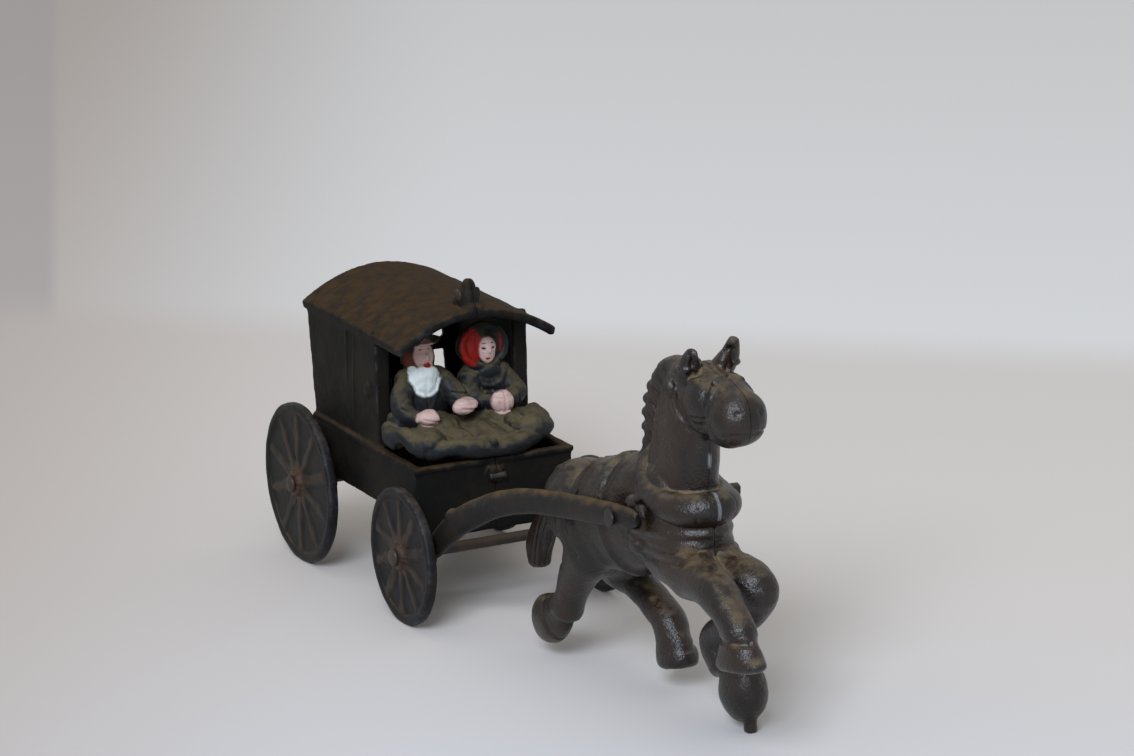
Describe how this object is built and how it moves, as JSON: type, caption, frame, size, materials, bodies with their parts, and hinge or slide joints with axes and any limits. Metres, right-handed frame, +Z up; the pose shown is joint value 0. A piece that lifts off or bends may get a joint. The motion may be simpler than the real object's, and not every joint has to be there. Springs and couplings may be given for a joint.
{
  "type": "toy horse-drawn carriage",
  "caption": "Cast iron toy carriage with an arched roof, a seated couple under a lap robe, disc wheels that roll, and a trotting horse held between two curved shafts",
  "frame": {"origin": "the middle of the length and width, on the table under the carriage", "axes": "+X is the way the horse runs, +Y is to its left, +Z is up"},
  "size_m": [0.2478, 0.0674, 0.1006],
  "materials": {
    "carriage_paint": "worn satin black paint on cast iron, dusty",
    "wheel_paint": "worn satin black paint on cast iron, rusty at the hubs",
    "horse_paint": "semi-gloss brown-black paint on cast iron",
    "figure_paint": "hand-painted black coats, pink faces and hands, white beard, red bonnet lining",
    "axle_steel": "bare steel rod, browned, peened ends",
    "rivet_steel": "blackened steel, peened"
  },
  "bodies": {
    "carriage": {"body_right_half": "carriage_paint", "body_left_half": "carriage_paint", "roof_rivet": "rivet_steel", "board_rivet": "rivet_steel", "floor_rivet": "rivet_steel", "rear_axle": "axle_steel", "front_axle": "axle_steel"},
    "couple": {"seated_couple": "figure_paint"},
    "rear_right_wheel": {"rear_wheel_right": "wheel_paint"},
    "rear_left_wheel": {"rear_wheel_left": "wheel_paint"},
    "front_right_wheel": {"front_wheel_right": "wheel_paint"},
    "front_left_wheel": {"front_wheel_left": "wheel_paint"},
    "horse_and_shafts": {"shaft_right": "carriage_paint", "shaft_left": "carriage_paint", "shaft_pin": "rivet_steel", "horse_right_half": "horse_paint", "horse_left_half": "horse_paint", "horse_neck_rivet": "rivet_steel", "horse_rump_rivet": "rivet_steel"}
  },
  "joints": [
    {"name": "rear_right_wheel_spin", "type": "hinge", "parent": "carriage", "child": "rear_right_wheel", "pos_m": [-0.1013, -0.0295, 0.0225], "axis": [0, 1, 0], "continuous": true},
    {"name": "rear_left_wheel_spin", "type": "hinge", "parent": "carriage", "child": "rear_left_wheel", "pos_m": [-0.1013, 0.0295, 0.0225], "axis": [0, 1, 0], "continuous": true},
    {"name": "front_right_wheel_spin", "type": "hinge", "parent": "carriage", "child": "front_right_wheel", "pos_m": [-0.0348, -0.0291, 0.0187], "axis": [0, 1, 0], "continuous": true},
    {"name": "front_left_wheel_spin", "type": "hinge", "parent": "carriage", "child": "front_left_wheel", "pos_m": [-0.0348, 0.0291, 0.0187], "axis": [0, 1, 0], "continuous": true},
    {"name": "shafts_lift", "type": "hinge", "parent": "carriage", "child": "horse_and_shafts", "pos_m": [-0.0348, 0, 0.0187], "axis": [0, -1, 0], "range_deg": [0, 12]},
    {"name": "couple_lift_out", "type": "slide", "parent": "carriage", "child": "couple", "axis": [1, 0, 0], "range_m": [0, 0.023]}
  ]
}
